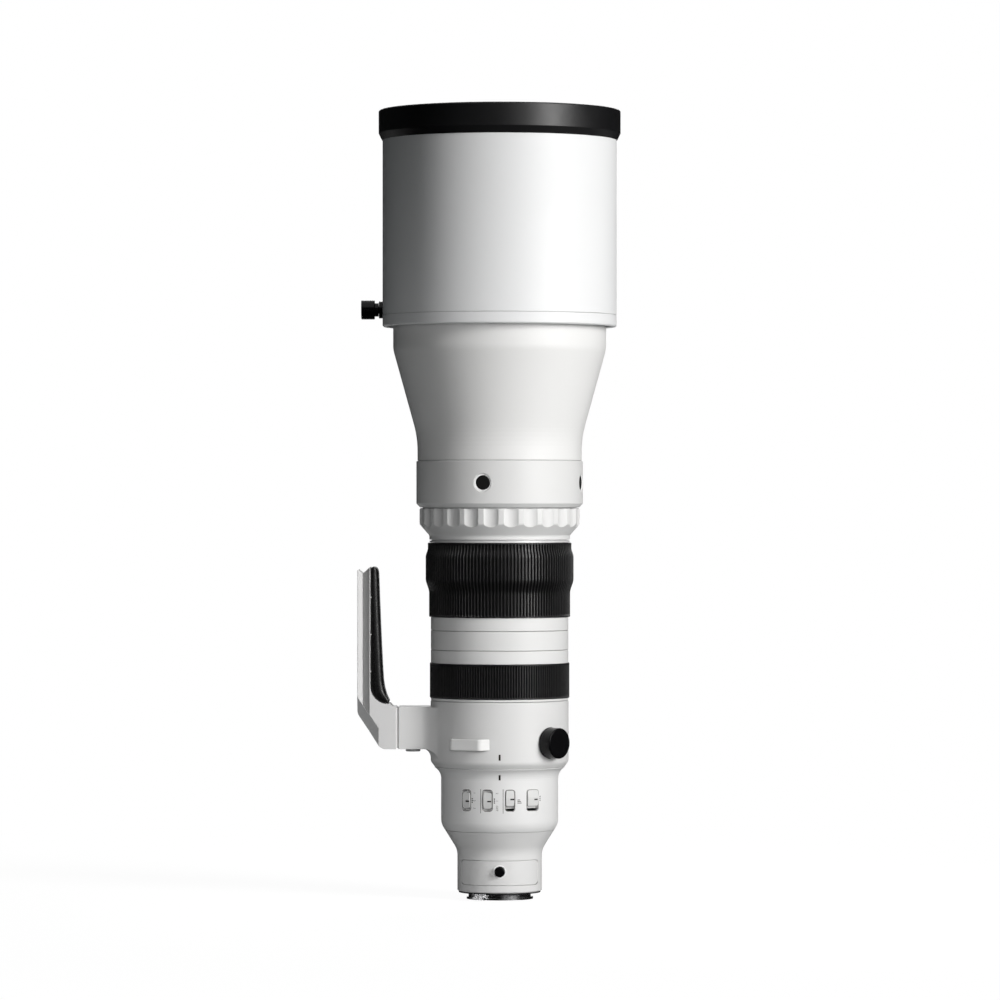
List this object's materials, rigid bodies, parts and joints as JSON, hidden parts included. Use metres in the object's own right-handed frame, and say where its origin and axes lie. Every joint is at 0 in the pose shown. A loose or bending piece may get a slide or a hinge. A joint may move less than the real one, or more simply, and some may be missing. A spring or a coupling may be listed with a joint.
{
  "type": "camera zoom lens",
  "caption": "White telephoto zoom lens with ribbed zoom and focus rings, fluted function ring, switches, drop-in filter, tripod collar with dovetail foot and a lens hood.",
  "frame": {"origin": "centre of the camera mount's face", "axes": "+Z along the optical axis to the front, -Y the side with the switches, -X the side of the tripod foot at rest"},
  "size_m": [0.2061, 0.1898, 0.6178],
  "materials": {
    "white_paint": "light alloy with satin off-white paint of a fine texture",
    "black_rubber": "matt moulded rubber",
    "black_metal": "satin black anodised light alloy",
    "grey_metal": "plain anodised metal",
    "mount_steel": "turned and polished",
    "screw_steel": "plain steel",
    "gold": "gold plated",
    "brass": "machined",
    "bright_trim": "bright turned",
    "glass": "coated optical glass",
    "black_plastic": "matt moulded",
    "white_plastic": "satin moulded",
    "grey_plastic": "satin moulded",
    "black_button": "matt rubber cap",
    "pad_leather": "grained leather-like covering",
    "black_flock": "light-absorbing flock",
    "board": "solder-masked circuit board"
  },
  "bodies": {
    "barrel": {"bayonet_mount": "mount_steel", "mount_seal": "black_rubber", "mount_screws": "screw_steel", "contact_block": "black_plastic", "contact_pins": "gold", "rear_baffle": "black_plastic", "rear_barrel": "white_paint", "switch_housing": "white_paint", "circuit_board": "board", "main_tube": "grey_metal", "centre_band": "white_paint", "trim_ring": "bright_trim", "button_band": "white_paint", "front_barrel": "white_paint", "front_cell": "black_metal", "front_glass": "glass", "front_retainer": "black_metal", "rear_cell": "black_metal", "rear_glass": "glass", "iris_unit": "black_metal", "focus_motor": "grey_metal", "stabiliser_frame": "black_plastic"},
    "stabiliser": {"stabiliser_cell": "black_plastic", "stabiliser_glass": "glass"},
    "zoom_ring": {"zoom_sleeve": "white_paint", "zoom_rubber": "black_rubber", "cam_sleeve": "brass"},
    "variator": {"variator_cell": "black_metal", "variator_glass": "glass"},
    "compensator": {"compensator_cell": "black_metal", "compensator_glass": "glass"},
    "focus_ring": {"focus_sleeve": "white_paint", "focus_rubber": "black_rubber"},
    "focus_group": {"focus_cell": "black_metal", "focus_glass": "glass"},
    "function_ring": {"function_ring": "white_paint"},
    "tripod_collar": {"tripod_collar": "white_paint", "tripod_foot": "white_paint", "foot_pad": "pad_leather", "foot_bolts": "screw_steel", "strap_loops": "white_paint"},
    "collar_knob": {"collar_knob": "black_metal"},
    "stop_button": {"stop_button": "grey_plastic"},
    "custom_slider": {"custom_slider": "white_plastic"},
    "stabiliser_slider": {"stabiliser_slider": "white_plastic"},
    "limiter_slider": {"limiter_slider": "white_plastic"},
    "focus_slider": {"focus_slider": "white_plastic"},
    "button_1": {"button_1": "black_button"},
    "button_2": {"button_2": "black_button"},
    "button_3": {"button_3": "black_button"},
    "button_4": {"button_4": "black_button"},
    "filter_drawer": {"filter_holder": "white_paint", "filter_glass": "glass"},
    "filter_knob": {"filter_knob": "black_metal"},
    "hood": {"hood_base": "white_paint", "hood_tube": "white_paint", "hood_bumper": "black_rubber", "hood_lining": "black_flock", "hood_bush": "black_metal"},
    "hood_knob": {"hood_knob": "black_metal"}
  },
  "joints": [
    {"name": "zoom_turn", "type": "hinge", "parent": "barrel", "child": "zoom_ring", "pos_m": [0, 0, 0.24], "axis": [0, 0, 1], "range_deg": [0, 70]},
    {"name": "variator_travel", "type": "slide", "parent": "barrel", "child": "variator", "axis": [0, 0, 1], "range_m": [0, 0.0361]},
    {"name": "compensator_travel", "type": "slide", "parent": "barrel", "child": "compensator", "axis": [0, 0, 1], "range_m": [0, 0.0121]},
    {"name": "focus_turn", "type": "hinge", "parent": "barrel", "child": "focus_ring", "pos_m": [0, 0, 0.17], "axis": [0, 0, 1], "continuous": true},
    {"name": "focus_travel", "type": "slide", "parent": "barrel", "child": "focus_group", "axis": [0, 0, 1], "range_m": [-0.014, 0.014]},
    {"name": "stabiliser_shift", "type": "slide", "parent": "barrel", "child": "stabiliser", "axis": [1, 0, 0], "range_m": [-0.001, 0.001], "stiffness_N_per_m": 300},
    {"name": "function_turn", "type": "hinge", "parent": "barrel", "child": "function_ring", "pos_m": [0, 0, 0.29], "axis": [0, 0, 1], "range_deg": [-8, 8], "stiffness_Nm_per_rad": 0.5},
    {"name": "collar_turn", "type": "hinge", "parent": "barrel", "child": "tripod_collar", "pos_m": [0, 0, 0.125], "axis": [0, 0, 1], "continuous": true},
    {"name": "collar_knob_turn", "type": "hinge", "parent": "tripod_collar", "child": "collar_knob", "pos_m": [0.04207, -0.03993, 0.1184], "axis": [0.7254, -0.6884, 0], "range_deg": [0, 120]},
    {"name": "stop_press", "type": "slide", "parent": "tripod_collar", "child": "stop_button", "axis": [0, 0, 1], "range_m": [0, 0.0015], "stiffness_N_per_m": 400},
    {"name": "custom_slide", "type": "slide", "parent": "barrel", "child": "custom_slider", "axis": [0, 0, 1], "range_m": [-0.0018, 0.0018]},
    {"name": "stabiliser_slide", "type": "slide", "parent": "barrel", "child": "stabiliser_slider", "axis": [0, 0, 1], "range_m": [-0.0018, 0.0018]},
    {"name": "limiter_slide", "type": "slide", "parent": "barrel", "child": "limiter_slider", "axis": [0, 0, 1], "range_m": [-0.0036, 0]},
    {"name": "focus_slide", "type": "slide", "parent": "barrel", "child": "focus_slider", "axis": [0, 0, 1], "range_m": [-0.0036, 0]},
    {"name": "button_1_press", "type": "slide", "parent": "barrel", "child": "button_1", "axis": [0.2045, 0.9789, 0], "range_m": [0, 0.001], "stiffness_N_per_m": 500},
    {"name": "button_2_press", "type": "slide", "parent": "barrel", "child": "button_2", "axis": [-0.9789, 0.2045, 0], "range_m": [0, 0.001], "stiffness_N_per_m": 500},
    {"name": "button_3_press", "type": "slide", "parent": "barrel", "child": "button_3", "axis": [-0.2045, -0.9789, 0], "range_m": [0, 0.001], "stiffness_N_per_m": 500},
    {"name": "button_4_press", "type": "slide", "parent": "barrel", "child": "button_4", "axis": [0.9789, -0.2045, 0], "range_m": [0, 0.001], "stiffness_N_per_m": 500},
    {"name": "filter_pull", "type": "slide", "parent": "barrel", "child": "filter_drawer", "axis": [0, -1, 0], "range_m": [0, 0.07]},
    {"name": "filter_knob_turn", "type": "hinge", "parent": "filter_drawer", "child": "filter_knob", "pos_m": [0, -0.0331, 0.01795], "axis": [0, -1, 0], "range_deg": [0, 90]},
    {"name": "hood_lift", "type": "slide", "parent": "barrel", "child": "hood", "axis": [0, 0, 1], "range_m": [0, 0.17]},
    {"name": "hood_knob_turn", "type": "hinge", "parent": "hood", "child": "hood_knob", "pos_m": [-0.0975, 0, 0.4565], "axis": [-1, 0, 0], "range_deg": [0, 180]}
  ],
  "couplings": [
    {"joint": "variator_travel", "follows": "zoom_turn", "m_per_rad": 0.029466},
    {"joint": "compensator_travel", "follows": "zoom_turn", "m_per_rad": 0.0098221}
  ]
}
